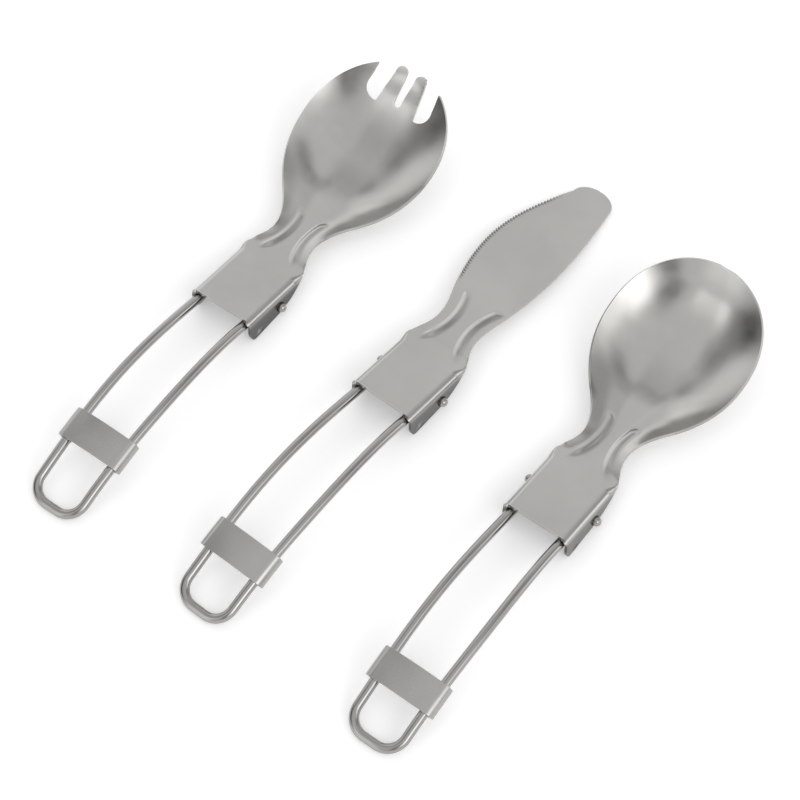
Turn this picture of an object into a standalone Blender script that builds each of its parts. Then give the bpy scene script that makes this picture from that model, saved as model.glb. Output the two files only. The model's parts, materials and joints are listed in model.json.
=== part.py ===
"""Folding picnic cutlery: a spork, a knife and a spoon of bare steel.

Each utensil is three pieces: a pressed sheet head, a bent wire handle whose
ends are the hinge pins, and a clip that slides along the wire.
Units are metres, +Z is up, and +X runs from the handles to the tips.
A head, its handle and its clip share one frame: the hinge axis is its Y axis,
and its X axis lies in the head's plate.
"""
import math
from dataclasses import dataclass

import bmesh
import bpy
from mathutils import Euler, Vector

MM = 0.001

# Stock
SHEET = 0.8 * MM
WIRE = 2.7 * MM
RUNNING_GAP = 0.3 * MM

# Channel at the root of every head, measured from the hinge axis
CHANNEL_WIDTH = 20.4 * MM
CHANNEL_REAR = 13.65 * MM
CHANNEL_FRONT = 10.4 * MM
BEND_RADIUS = 2.4 * MM
FLANGE_DEPTH = 9.0 * MM
FLANGE_CORNER_INSET = 1.9 * MM
FLANGE_CORNER_RADIUS = 1.2 * MM
FLANGE_TAPER_POWER = 1.6
PIN_CLEARANCE = 0.25 * MM
LOBE_MARGIN = 1.0 * MM
DIMPLE_INSET = 4.6 * MM
DIMPLE_RISE = 1.6 * MM
DIMPLE_RADIUS = 1.5 * MM
DIMPLE_DEPTH = 0.3 * MM

# Wire handle: one arc seen from the side, a U seen from above
HANDLE_ARC_RADIUS = 110.4 * MM
HANDLE_LIFT = math.radians(13.2)
LOOP_WIDTH = 15.0 * MM
LEG_BOW = 0.5 * MM
LOOP_CORNER_RADIUS = 5.5 * MM
PIN_BEND_RADIUS = 1.75 * MM
PIN_PROUD = 1.8 * MM

# Sliding clip
CLIP_LENGTH = 8.8 * MM
CLIP_SPACING = 15.7 * MM
CLIP_SHEET = 0.8 * MM
CLIP_GAP = 0.4 * MM
CLIP_WRAP = math.radians(200.0)

# Neck of every head
SHOULDER_SLOPE = -0.65
WAIST_AT = 18.7 * MM
WAIST_WIDTH = 13.5 * MM
BEAD_HEIGHT = 0.45 * MM

# Bowls of the spoon and the spork
FLANK_AT = 30.0 * MM
FLANK_WIDTH = 25.0 * MM
FLANK_SLOPE = 0.92
FLOOR_REAR = 29.0 * MM
FLOOR_FRONT = 37.0 * MM
FLOOR_LIFT = 3.4 * MM
FLOOR_SHARE = 0.22
SCOOP_AT = (43.0 * MM, 48.0 * MM, 54.0 * MM, 60.0 * MM, 66.0 * MM)
SCOOP_RISE = (0.6 * MM, 1.6 * MM, 3.6 * MM, 6.8 * MM, 11.6 * MM)
SCOOP_SLOPE = (0.15, 0.25, 0.42, 0.65, 0.98)
LIP_SLOPE = 1.7
NECK_WALL_POWER = 1.35
LIP_WALL_POWER = 2.3
RIM_EARLY_SHARE = 0.33

SPOON_BELLY_AT = 50.5 * MM
SPOON_WIDTH = 43.0 * MM
SPOON_TIP = 71.2 * MM
SPOON_TIP_RISE = 26.2 * MM
SPOON_FULLNESS = 2.3

SPORK_BELLY_AT = 52.0 * MM
SPORK_WIDTH = 43.6 * MM
SPORK_TIP = 72.9 * MM
SPORK_TIP_RISE = 26.4 * MM
SPORK_FULLNESS = 2.1
TINE_LENGTH = 11.6 * MM
TINE_LEAN = 0.68
TINE_SPACING = 6.5 * MM
TINE_TIP_WIDTH = 3.5 * MM
TINE_SLOT_WIDTH = 2.2 * MM
BITE_RADIUS = 3.9 * MM
BITE_SPACING = 14.2 * MM
BITE_RISE = 2.75 * MM
HORN_SPACING = 20.7 * MM
HORN_LENGTH = 9.1 * MM

# Knife blade, its cutting edge on the left seen from the handle
BLADE_BEND_AT = 12.0 * MM
BLADE_WAIST_AT = 20.0 * MM
BLADE_WAIST_LEFT = 7.1 * MM
BLADE_WAIST_RIGHT = 6.5 * MM
BLADE_FLANK_AT = 32.0 * MM
BLADE_FLANK_LEFT = 10.5 * MM
BLADE_FLANK_RIGHT = 8.25 * MM
BLADE_BELLY_AT = 51.0 * MM
BLADE_BELLY_LEFT = 13.8 * MM
BLADE_BELLY_RIGHT = 9.8 * MM
BLADE_NOSE_AT = 80.0 * MM
BLADE_NOSE_LEFT = 5.3 * MM
BLADE_NOSE_RIGHT = 7.3 * MM
BLADE_TIP = 84.6 * MM
BLADE_TIP_SHIFT = -0.8 * MM
SERRATION_START = 33.0 * MM
SERRATION_END = 76.0 * MM
TOOTH_PITCH = 0.95 * MM
TOOTH_DEPTH = 0.35 * MM

# Handle lengths along the arc from the hinge axis, and clip places from the loop
SPORK_HANDLE_REACH = 87.6 * MM
SPORK_CLIP_FROM_LOOP = 21.4 * MM
KNIFE_HANDLE_REACH = 90.0 * MM
KNIFE_CLIP_FROM_LOOP = 18.5 * MM
SPOON_HANDLE_REACH = 86.6 * MM
SPOON_CLIP_FROM_LOOP = 17.4 * MM

# How the three utensils lie on the table
SPORK_PIVOT_X = 2.7 * MM
SPORK_PIVOT_Y = 54.1 * MM
SPORK_YAW = math.radians(1.07)
KNIFE_PIVOT_X = 5.1 * MM
KNIFE_PIVOT_Y = -0.1 * MM
KNIFE_YAW = math.radians(-1.6)
KNIFE_LOBE_LIFT = 1.0 * MM
SPOON_PIVOT_X = 0.1 * MM
SPOON_PIVOT_Y = -53.6 * MM
SPOON_YAW = math.radians(0.64)

# Mesh fineness
PLATE_STEPS = (0.0, 0.35, 0.68, 1.0)
FOLD_STEPS = (0.14, 0.28, 0.42, 0.68, 1.0)
BOWL_INNER_SHARE = 0.6
WIRE_SIDES_RESOLUTION = 3
BEND_STEPS = 5
LEG_STEP = 7.0 * MM


@dataclass(frozen=True)
class Utensil:
    """Where one utensil lies, and the lengths that are its own."""

    name: str
    pivot_at: tuple
    yaw: float
    handle_reach: float
    clip_at: float
    pivot_height: float


# Sizes that follow from the driving dimensions
WIRE_RADIUS = WIRE / 2
HALF_CHANNEL = CHANNEL_WIDTH / 2
LEG_IN_CHANNEL = HALF_CHANNEL - SHEET - RUNNING_GAP - WIRE_RADIUS
HOLE_RADIUS = WIRE_RADIUS + PIN_CLEARANCE
LOBE_RADIUS = HOLE_RADIUS + LOBE_MARGIN
ARC_CENTRE_X = -HANDLE_ARC_RADIUS * math.sin(HANDLE_LIFT)
ARC_CENTRE_Z = -HANDLE_ARC_RADIUS * math.cos(HANDLE_LIFT)

SPORK = Utensil(
    name="spork",
    pivot_at=(SPORK_PIVOT_X, SPORK_PIVOT_Y),
    yaw=SPORK_YAW,
    handle_reach=SPORK_HANDLE_REACH,
    clip_at=SPORK_HANDLE_REACH - SPORK_CLIP_FROM_LOOP,
    pivot_height=LOBE_RADIUS,
)
KNIFE = Utensil(
    name="knife",
    pivot_at=(KNIFE_PIVOT_X, KNIFE_PIVOT_Y),
    yaw=KNIFE_YAW,
    handle_reach=KNIFE_HANDLE_REACH,
    clip_at=KNIFE_HANDLE_REACH - KNIFE_CLIP_FROM_LOOP,
    pivot_height=LOBE_RADIUS + KNIFE_LOBE_LIFT,
)
SPOON = Utensil(
    name="spoon",
    pivot_at=(SPOON_PIVOT_X, SPOON_PIVOT_Y),
    yaw=SPOON_YAW,
    handle_reach=SPOON_HANDLE_REACH,
    clip_at=SPOON_HANDLE_REACH - SPOON_CLIP_FROM_LOOP,
    pivot_height=LOBE_RADIUS,
)


def arc_point(length, height=0.0):
    """Return (x, z) at a length along the handle's arc and a height above it."""
    angle = HANDLE_LIFT - length / HANDLE_ARC_RADIUS
    radius = HANDLE_ARC_RADIUS + height
    return ARC_CENTRE_X + radius * math.sin(angle), ARC_CENTRE_Z + radius * math.cos(angle)


def arc_height(x):
    """Return the handle's height where it passes x."""
    return ARC_CENTRE_Z + math.sqrt(HANDLE_ARC_RADIUS**2 - (x - ARC_CENTRE_X) ** 2)


PLATE_HEIGHT = arc_height(-CHANNEL_REAR) + WIRE_RADIUS + RUNNING_GAP + SHEET


def rest_pitch(utensil):
    """Return the tilt, tip down, at which the handle's loop rests on the table."""
    x, z = arc_point(utensil.handle_reach)
    fall = math.atan2(-z, -x)
    return fall + math.asin((WIRE_RADIUS - utensil.pivot_height) / math.hypot(x, z))


def table_height(utensil, x):
    """Return the table's height in the head's frame at x."""
    pitch = rest_pitch(utensil)
    return (x * math.sin(pitch) - utensil.pivot_height) / math.cos(pitch)


def smoothstep(value):
    """Return an S curve from 0 to 1 for a value clamped to that range."""
    value = min(max(value, 0.0), 1.0)
    return value * value * (3.0 - 2.0 * value)


def hermite(x, knots):
    """Return the cubic curve's y at x through knots of (x, y, slope)."""
    for (x0, y0, m0), (x1, y1, m1) in zip(knots, knots[1:]):
        if x <= x1:
            break
    span = x1 - x0
    t = (x - x0) / span
    blend = t * t * (3.0 - 2.0 * t)
    return y0 + (y1 - y0) * blend + span * (m0 * t * (1.0 - t) ** 2 - m1 * t * t * (1.0 - t))


def spaced(start, end, count):
    """Return count values after start, evenly spaced and ending at end."""
    return [start + (end - start) * i / count for i in range(1, count + 1)]


def eased(start, end, count):
    """Return count values after start that crowd together towards end."""
    return [start + (end - start) * math.sin(0.5 * math.pi * i / count) for i in range(1, count + 1)]


def flange_depth(x):
    """Return how far the flange reaches below the plate's upper face at x."""
    corner_x = -CHANNEL_REAR + FLANGE_CORNER_INSET + FLANGE_CORNER_RADIUS
    lobe_depth = PLATE_HEIGHT + LOBE_RADIUS
    if x < corner_x:
        fade = (corner_x - x) / (corner_x + CHANNEL_REAR)
        return BEND_RADIUS + (FLANGE_DEPTH - BEND_RADIUS) * math.sqrt(max(0.0, 1.0 - fade**2))
    if x < 0.0:
        return FLANGE_DEPTH + (lobe_depth - FLANGE_DEPTH) * (x - corner_x) / -corner_x
    if x < LOBE_RADIUS * math.sqrt(0.5):
        return PLATE_HEIGHT + math.sqrt(LOBE_RADIUS**2 - x * x)
    lobe_end = LOBE_RADIUS * math.sqrt(0.5)
    end_depth = PLATE_HEIGHT + lobe_end
    taper = (x - lobe_end) / (CHANNEL_FRONT - lobe_end)
    return max(end_depth * (1.0 - taper**FLANGE_TAPER_POWER), 0.5 * SHEET)


def channel_half(x):
    """Return the channel's half section at x as (y, z) from the middle out and down.

    Where the flange fades out at the shoulder, the fold stops short of a right angle.
    """
    depth = flange_depth(x)
    radius = min(BEND_RADIUS, max(1.25 * SHEET, 0.6 * depth))
    flat = HALF_CHANNEL - radius
    points = [(flat * step, PLATE_HEIGHT) for step in PLATE_STEPS]
    bend = radius * math.acos(max(0.0, 1.0 - depth / radius))
    length = bend + max(0.0, depth - radius)
    for step in FOLD_STEPS:
        along = length * step
        angle = min(along, bend) / radius
        drop = radius * (1.0 - math.cos(angle)) + max(0.0, along - bend)
        points.append((flat + radius * math.sin(angle), PLATE_HEIGHT - drop))
    return points


def across_shares(x):
    """Return the shares of the half width at which a station past the channel has points."""
    spread = smoothstep((x - CHANNEL_FRONT) / (WAIST_AT - CHANNEL_FRONT))
    inner = 0.95 + (BOWL_INNER_SHARE - 0.95) * spread
    return [inner * step for step in PLATE_STEPS] + [inner + (1.0 - inner) * step for step in FOLD_STEPS]


def bead_rise(x):
    """Return the height at x of the two beads pressed along the neck."""
    start = 0.8 * CHANNEL_FRONT
    end = 2.0 * WAIST_AT - CHANNEL_FRONT
    if not start < x < end:
        return 0.0
    return BEAD_HEIGHT * math.sin(math.pi * (x - start) / (end - start)) ** 2


def raise_bead(half, x):
    """Lift the point of a half section that lies on the neck's bead."""
    y, z = half[2]
    half[2] = (y, z + bead_rise(x))
    return half


@dataclass(frozen=True)
class Bowl:
    """The outline and depth of a spoon's or a spork's bowl."""

    utensil: Utensil
    belly_at: float
    width: float
    tip: float
    tip_rise: float
    fullness: float

    def half_width(self, x):
        """Return half the bowl's width at x."""
        if x > self.belly_at:
            share = min((x - self.belly_at) / (self.tip - self.belly_at), 1.0)
            return 0.5 * self.width * math.sqrt(1.0 - share**self.fullness)
        knots = (
            (CHANNEL_FRONT, HALF_CHANNEL, SHOULDER_SLOPE),
            (WAIST_AT, 0.5 * WAIST_WIDTH, 0.0),
            (FLANK_AT, 0.5 * FLANK_WIDTH, FLANK_SLOPE),
            (self.belly_at, 0.5 * self.width, 0.0),
        )
        return hermite(x, knots)

    def rim(self, x):
        """Return the rim's height at x."""
        share = (x - CHANNEL_FRONT) / (self.tip - CHANNEL_FRONT)
        return PLATE_HEIGHT + self.tip_rise * (RIM_EARLY_SHARE * share + (1.0 - RIM_EARLY_SHARE) * share**2)

    def sheet_on_table(self, x):
        """Return the height at x of the upper face of a sheet that lies on the table."""
        return table_height(self.utensil, x) + SHEET / math.cos(rest_pitch(self.utensil))

    def floor(self, x):
        """Return the height of the bowl's inside at x on its middle line."""
        fall = -math.tan(rest_pitch(self.utensil))
        knots = [
            (CHANNEL_FRONT, PLATE_HEIGHT - self.sheet_on_table(CHANNEL_FRONT), fall),
            (FLOOR_REAR, FLOOR_LIFT, 0.0),
            (FLOOR_FRONT, FLOOR_LIFT, 0.0),
        ]
        knots += [(at, FLOOR_LIFT + rise, slope)
                  for at, rise, slope in zip(SCOOP_AT, SCOOP_RISE, SCOOP_SLOPE)]
        knots.append((self.tip, self.rim(self.tip) - self.sheet_on_table(self.tip), LIP_SLOPE))
        return self.sheet_on_table(x) + hermite(x, knots)

    def half(self, x):
        """Return the bowl's half section at x as (y, z) from the middle out."""
        width = self.half_width(x)
        floor = self.floor(x)
        wall = self.rim(x) - floor
        towards_tip = max(0.0, (x - FLOOR_REAR) / (self.tip - FLOOR_REAR))
        power = NECK_WALL_POWER + (LIP_WALL_POWER - NECK_WALL_POWER) * towards_tip
        points = []
        for share in across_shares(x):
            climb = max(0.0, (share - FLOOR_SHARE) / (1.0 - FLOOR_SHARE)) ** power
            points.append((width * share, floor + wall * climb))
        return raise_bead(points, x)

    def rows(self):
        """Return the head's upper face as rows of points across it."""
        stations = spaced(CHANNEL_FRONT, WAIST_AT, 4) + spaced(WAIST_AT, FLOOR_REAR, 4)
        stations += spaced(FLOOR_REAR, FLOOR_FRONT, 2) + eased(FLOOR_FRONT, self.tip, 13)
        rows = channel_rows()
        for x in stations:
            rows.append(both_sides(x, self.half(x), self.half(x)))
        return rows


def both_sides(x, left, right):
    """Return a full row of points from the right half section to the left one."""
    row = [Vector((x, -y, z)) for y, z in reversed(right)]
    return row + [Vector((x, y, z)) for y, z in left[1:]]


def channel_rows():
    """Return the channel's outer face as rows of points across it."""
    corner = -CHANNEL_REAR + FLANGE_CORNER_INSET + FLANGE_CORNER_RADIUS
    lobe = LOBE_RADIUS * math.sqrt(0.5)
    stations = [-CHANNEL_REAR]
    stations += [-CHANNEL_REAR + (corner + CHANNEL_REAR) * share for share in (0.06, 0.22, 0.5, 1.0)]
    stations += spaced(corner, -lobe, 3) + spaced(-lobe, lobe, 3) + spaced(lobe, CHANNEL_FRONT, 4)
    rows = []
    for x in stations:
        half = raise_bead(channel_half(x), x)
        rows.append(both_sides(x, half, half))
    return rows


SPOON_BOWL = Bowl(SPOON, SPOON_BELLY_AT, SPOON_WIDTH, SPOON_TIP, SPOON_TIP_RISE, SPOON_FULLNESS)
SPORK_BOWL = Bowl(SPORK, SPORK_BELLY_AT, SPORK_WIDTH, SPORK_TIP, SPORK_TIP_RISE, SPORK_FULLNESS)


def blade_height(x):
    """Return the blade's upper face at x: flat, with its tip resting on the table."""
    tip_height = table_height(KNIFE, BLADE_TIP) + SHEET / math.cos(rest_pitch(KNIFE))
    slope = (tip_height - PLATE_HEIGHT) / (BLADE_TIP - BLADE_BEND_AT)
    return PLATE_HEIGHT + slope * max(0.0, x - BLADE_BEND_AT)


def blade_edge(x, side):
    """Return the blade's width from its middle line at x; side is 1 on the left and -1 on the right."""
    left = side > 0
    waist = BLADE_WAIST_LEFT if left else BLADE_WAIST_RIGHT
    belly = BLADE_BELLY_LEFT if left else BLADE_BELLY_RIGHT
    flank = BLADE_FLANK_LEFT if left else BLADE_FLANK_RIGHT
    flank_slope = 1.5 * (belly - waist) / (BLADE_BELLY_AT - BLADE_WAIST_AT)
    nose = BLADE_NOSE_LEFT if left else BLADE_NOSE_RIGHT
    nose_slope = 1.75 * (nose - belly) / (BLADE_NOSE_AT - BLADE_BELLY_AT)
    if x > BLADE_NOSE_AT:
        share = min((x - BLADE_NOSE_AT) / (BLADE_TIP - BLADE_NOSE_AT), 1.0)
        middle = side * BLADE_TIP_SHIFT
        return middle + (nose - middle) * math.sqrt(1.0 - share**2)
    knots = (
        (CHANNEL_FRONT, HALF_CHANNEL, SHOULDER_SLOPE),
        (BLADE_WAIST_AT, waist, 0.0),
        (BLADE_FLANK_AT, flank, flank_slope),
        (BLADE_BELLY_AT, belly, 0.0),
        (BLADE_NOSE_AT, nose, nose_slope),
    )
    return hermite(x, knots)


def blade_rows():
    """Return the knife head's upper face as rows of points across it."""
    rows = channel_rows()
    stations = spaced(CHANNEL_FRONT, BLADE_WAIST_AT, 4) + spaced(BLADE_WAIST_AT, BLADE_BELLY_AT, 7)
    stations += spaced(BLADE_BELLY_AT, BLADE_NOSE_AT, 7) + eased(BLADE_NOSE_AT, BLADE_TIP, 5)
    for x in stations:
        middle = BLADE_TIP_SHIFT * smoothstep((x - BLADE_BELLY_AT) / (BLADE_TIP - BLADE_BELLY_AT))
        halves = []
        for side in (1, -1):
            start = side * middle
            width = blade_edge(x, side) - start
            half = [(start + width * share, blade_height(x)) for share in across_shares(x)]
            halves.append(raise_bead(half, x))
        rows.append(both_sides(x, halves[0], halves[1]))
    return rows


def new_material(name, colour, roughness):
    """Return a bare metal material."""
    material = bpy.data.materials.new(name)
    material.use_nodes = True
    shader = material.node_tree.nodes["Principled BSDF"]
    shader.inputs["Base Color"].default_value = (*colour, 1.0)
    shader.inputs["Metallic"].default_value = 1.0
    shader.inputs["Roughness"].default_value = roughness
    return material


def new_object(name, data, parent):
    """Link a new object under its parent and return it."""
    piece = bpy.data.objects.new(name, data)
    bpy.context.scene.collection.objects.link(piece)
    piece.parent = parent
    return piece


def mesh_from(name, bm):
    """Return a mesh made from a bmesh, smooth but for its sharp edges."""
    bmesh.ops.recalc_face_normals(bm, faces=bm.faces)
    mesh = bpy.data.meshes.new(name)
    bm.to_mesh(mesh)
    bm.free()
    mesh.shade_smooth()
    mesh.set_sharp_from_angle(angle=math.radians(40.0))
    return mesh


def sheet_head(name, rows, cutter, material, parent):
    """Return a pressed sheet head from its upper face, thickened and then cut."""
    bm = bmesh.new()
    grid = [[bm.verts.new(point) for point in row] for row in rows]
    for near, far in zip(grid, grid[1:]):
        for j in range(len(near) - 1):
            bm.faces.new((near[j], far[j], far[j + 1], near[j + 1]))
    bmesh.ops.remove_doubles(bm, verts=bm.verts, dist=0.01 * MM)
    mesh = bpy.data.meshes.new(name)
    bm.to_mesh(mesh)
    bm.free()
    mesh.shade_smooth()
    mesh.materials.append(material)
    head = new_object(name, mesh, parent)
    solid = head.modifiers.new("sheet", "SOLIDIFY")
    solid.thickness = SHEET
    solid.offset = -1.0
    solid.use_even_offset = True
    cut = head.modifiers.new("cuts", "BOOLEAN")
    cut.operation = "DIFFERENCE"
    cut.object = cutter
    return head


def add_cylinder(bm, centre, axis, radius, length, sides):
    """Add a closed cylinder to a bmesh, centred on a point."""
    turn = Vector(axis).to_track_quat("Z", "Y").to_matrix().to_4x4()
    turn.translation = centre
    bmesh.ops.create_cone(
        bm, cap_ends=True, segments=sides, radius1=radius, radius2=radius, depth=length, matrix=turn
    )


def add_prism(bm, outline, across):
    """Add a closed prism to a bmesh: an outline carried along a vector both ways."""
    near = [bm.verts.new(point - across) for point in outline]
    far = [bm.verts.new(point + across) for point in outline]
    bm.faces.new(near)
    bm.faces.new(list(reversed(far)))
    for i in range(len(near)):
        j = (i + 1) % len(near)
        bm.faces.new((near[i], far[i], far[j], near[j]))


def add_channel_cuts(bm):
    """Add the cutters for the two pin holes and the two dimples of a channel."""
    for side in (1, -1):
        add_cylinder(bm, (0.0, side * HALF_CHANNEL, 0.0), (0, 1, 0), HOLE_RADIUS, 4.0 * SHEET, 20)
        centre = Vector((
            -CHANNEL_REAR + DIMPLE_INSET,
            side * (HALF_CHANNEL + DIMPLE_RADIUS - DIMPLE_DEPTH),
            PLATE_HEIGHT - FLANGE_DEPTH + DIMPLE_RISE,
        ))
        ball = bmesh.ops.create_icosphere(bm, subdivisions=2, radius=DIMPLE_RADIUS)
        bmesh.ops.translate(bm, verts=ball["verts"], vec=centre)


def arc_outline(centre, radius, start, end, steps):
    """Return points on a circle in a plane, as (across, up) pairs."""
    turns = [start + (end - start) * i / steps for i in range(steps + 1)]
    return [(centre[0] + radius * math.cos(a), centre[1] + radius * math.sin(a)) for a in turns]


def tooth_outline():
    """Return the right half of the spork's toothed edge as (across, up) pairs.

    Up is measured from the foot of the slot between the two tines.
    """
    slot = 0.5 * TINE_SLOT_WIDTH
    tip = 0.5 * TINE_TIP_WIDTH
    outline = arc_outline((0.0, slot), slot, -0.5 * math.pi, 0.0, 3)
    outline += arc_outline((0.5 * TINE_SPACING, TINE_LENGTH - tip), tip, math.pi, 0.0, 8)
    bite = (0.5 * BITE_SPACING, BITE_RISE)
    outline += arc_outline(bite, BITE_RADIUS, math.radians(-100.0), math.radians(15.0), 8)
    outline.append((0.5 * HORN_SPACING, HORN_LENGTH))
    return outline


def add_tine_cuts(bm):
    """Add the cutter that leaves two tines and two horns at the spork's front.

    Its outline lies in the plane of the front wall.
    """
    tip = Vector((SPORK_TIP, 0.0, SPORK_BOWL.rim(SPORK_TIP)))
    foot_x = SPORK_TIP - TINE_LENGTH * TINE_LEAN
    foot = Vector((foot_x, 0.0, SPORK_BOWL.floor(foot_x)))
    up = (tip - foot).normalized()
    normal = Vector((-up.z, 0.0, up.x))
    reach = 5.0 * SHEET
    half = tooth_outline()
    half.append((0.5 * HORN_SPACING + SHEET, TINE_LENGTH + reach))
    outline = half + [(-y, rise) for y, rise in reversed(half[1:])]
    points = [foot + Vector((0.0, y, 0.0)) + up * rise for y, rise in outline]
    add_prism(bm, points, normal * reach)


def add_serration_cuts(bm):
    """Add the row of notches along the blade's cutting edge."""
    x = SERRATION_START
    while x < SERRATION_END:
        y = blade_edge(x, 1)
        slope = (blade_edge(x + MM, 1) - y) / MM
        outward = Vector((-slope, 1.0, 0.0)).normalized()
        centre = Vector((x, y, blade_height(x) - 0.5 * SHEET)) + outward * (0.5 * TOOTH_PITCH - TOOTH_DEPTH)
        add_cylinder(bm, centre, (0, 0, 1), 0.5 * TOOTH_PITCH - 0.1 * TOOTH_DEPTH, 6.0 * SHEET, 8)
        x += TOOTH_PITCH / math.hypot(1.0, slope)


def cutter_object(name, add_more, parent):
    """Return the hidden cutter of a head: its channel's cuts and any of its own."""
    bm = bmesh.new()
    add_channel_cuts(bm)
    if add_more:
        add_more(bm)
    cutter = new_object(name, mesh_from(name, bm), parent)
    cutter.hide_render = True
    cutter.display_type = "WIRE"
    return cutter


def leg_offset(length, reach):
    """Return the distance of a leg's centre from the middle at a length along the arc.

    The legs bow outwards between the channel and the loop.
    """
    start = arc_length_at(-CHANNEL_REAR)
    share = max(0.0, (length - start) / (reach - LOOP_CORNER_RADIUS - start))
    straight = LEG_IN_CHANNEL + (0.5 * LOOP_WIDTH - LEG_IN_CHANNEL) * share
    return straight + LEG_BOW * math.sin(math.pi * share) ** 2


def arc_length_at(x):
    """Return the length along the handle's arc at which it passes x."""
    return HANDLE_ARC_RADIUS * (HANDLE_LIFT - math.asin((x - ARC_CENTRE_X) / HANDLE_ARC_RADIUS))


def half_wire_path(reach):
    """Return one side of the wire as (length, y, thickness share), from its pin to its loop."""
    pin_end = HALF_CHANNEL + PIN_PROUD
    path = []
    for angle in (78.0, 55.0, 28.0):
        turn = math.radians(angle)
        path.append((0.0, pin_end - WIRE_RADIUS * (1.0 - math.sin(turn)), math.cos(turn)))
    path.append((0.0, pin_end - WIRE_RADIUS, 1.0))
    for i in range(BEND_STEPS + 1):
        turn = 0.5 * math.pi * i / BEND_STEPS
        along = PIN_BEND_RADIUS * (1.0 - math.cos(turn))
        path.append((along, LEG_IN_CHANNEL + PIN_BEND_RADIUS * (1.0 - math.sin(turn)), 1.0))
    corner = reach - LOOP_CORNER_RADIUS
    steps = max(4, round((corner - PIN_BEND_RADIUS) / LEG_STEP))
    for length in spaced(PIN_BEND_RADIUS, corner, steps):
        path.append((length, leg_offset(length, reach), 1.0))
    inner = 0.5 * LOOP_WIDTH - LOOP_CORNER_RADIUS
    for i in range(1, BEND_STEPS + 1):
        turn = 0.5 * math.pi * i / BEND_STEPS
        along = corner + LOOP_CORNER_RADIUS * math.sin(turn)
        path.append((along, inner + LOOP_CORNER_RADIUS * math.cos(turn), 1.0))
    return path


def wire_handle(utensil, material, parent):
    """Return a utensil's wire handle, with its origin on the hinge axis."""
    half = half_wire_path(utensil.handle_reach)
    path = half + [(length, -y, share) for length, y, share in reversed(half)]
    name = f"{utensil.name}_handle"
    curve = bpy.data.curves.new(name, "CURVE")
    curve.dimensions = "3D"
    curve.bevel_depth = WIRE_RADIUS
    curve.bevel_resolution = WIRE_SIDES_RESOLUTION
    curve.use_fill_caps = True
    spline = curve.splines.new("POLY")
    spline.points.add(len(path) - 1)
    for point, (length, y, share) in zip(spline.points, path):
        x, z = arc_point(length)
        point.co = (x, y, z, 1.0)
        point.radius = share
    spline.use_smooth = True
    curve.materials.append(material)
    return new_object(name, curve, parent)


def clip_outline():
    """Return the clip's section as (y, height above the wire's centre line)."""
    inner = WIRE_RADIUS + CLIP_GAP
    outer = inner + CLIP_SHEET
    centre = (0.5 * CLIP_SPACING, 0.0)
    top = 0.5 * math.pi
    roll_out = arc_outline(centre, outer, top, top - CLIP_WRAP, 9)
    roll_in = arc_outline(centre, inner, top - CLIP_WRAP, top, 9)
    right = roll_out + roll_in
    left = [(-y, h) for y, h in reversed(right)]
    return right + left


def sliding_clip(utensil, material, handle):
    """Return a utensil's clip, with its origin on the axis of the handle's arc."""
    bm = bmesh.new()
    outline = clip_outline()
    half_turn = 0.5 * CLIP_LENGTH / HANDLE_ARC_RADIUS
    rest = HANDLE_LIFT - utensil.clip_at / HANDLE_ARC_RADIUS
    rings = []
    for share in (-1.0, 0.0, 1.0):
        angle = rest + half_turn * share
        ring = []
        for y, height in outline:
            radius = HANDLE_ARC_RADIUS + height
            ring.append(bm.verts.new((radius * math.sin(angle), y, radius * math.cos(angle))))
        rings.append(ring)
    for near, far in zip(rings, rings[1:]):
        for i in range(len(near)):
            j = (i + 1) % len(near)
            bm.faces.new((near[i], near[j], far[j], far[i]))
    bm.faces.new(rings[0])
    bm.faces.new(list(reversed(rings[-1])))
    name = f"{utensil.name}_clip"
    mesh = mesh_from(name, bm)
    mesh.materials.append(material)
    clip = new_object(name, mesh, handle)
    clip.location = (ARC_CENTRE_X, 0.0, ARC_CENTRE_Z)
    return clip


def place(utensil, parent):
    """Return the empty at a utensil's hinge, tilted as the utensil lies on the table."""
    empty = new_object(f"{utensil.name}_pivot", None, parent)
    empty.location = (*utensil.pivot_at, utensil.pivot_height)
    empty.rotation_euler = Euler((0.0, rest_pitch(utensil), utensil.yaw))
    return empty


def centre_on_origin(root, pieces):
    """Move the set so that the middle of its footprint is the origin."""
    bpy.context.view_layer.update()
    graph = bpy.context.evaluated_depsgraph_get()
    corners = []
    for piece in pieces:
        shape = piece.evaluated_get(graph)
        mesh = shape.to_mesh()
        corners += [piece.matrix_world @ vertex.co for vertex in mesh.vertices]
        shape.to_mesh_clear()
    low = [min(corner[i] for corner in corners) for i in range(3)]
    high = [max(corner[i] for corner in corners) for i in range(3)]
    root.location = (-0.5 * (low[0] + high[0]), -0.5 * (low[1] + high[1]), -low[2])


def main():
    """Build the three utensils."""
    for item in list(bpy.data.objects):
        bpy.data.objects.remove(item, do_unlink=True)
    root = new_object("picnic_cutlery", None, None)
    pressed = new_material("pressed_steel", (0.46, 0.455, 0.44), 0.34)
    drawn = new_material("drawn_wire", (0.42, 0.42, 0.41), 0.3)
    folded = new_material("folded_strip", (0.44, 0.435, 0.425), 0.36)
    heads = (
        (SPORK, SPORK_BOWL.rows(), add_tine_cuts),
        (KNIFE, blade_rows(), add_serration_cuts),
        (SPOON, SPOON_BOWL.rows(), None),
    )
    pieces = []
    for utensil, rows, add_more in heads:
        pivot = place(utensil, root)
        cutter = cutter_object(f"{utensil.name}_cutter", add_more, pivot)
        pieces.append(sheet_head(f"{utensil.name}_head", rows, cutter, pressed, pivot))
        handle = wire_handle(utensil, drawn, pivot)
        pieces.append(handle)
        pieces.append(sliding_clip(utensil, folded, handle))
    centre_on_origin(root, pieces)


if __name__ == "__main__":
    main()
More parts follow.
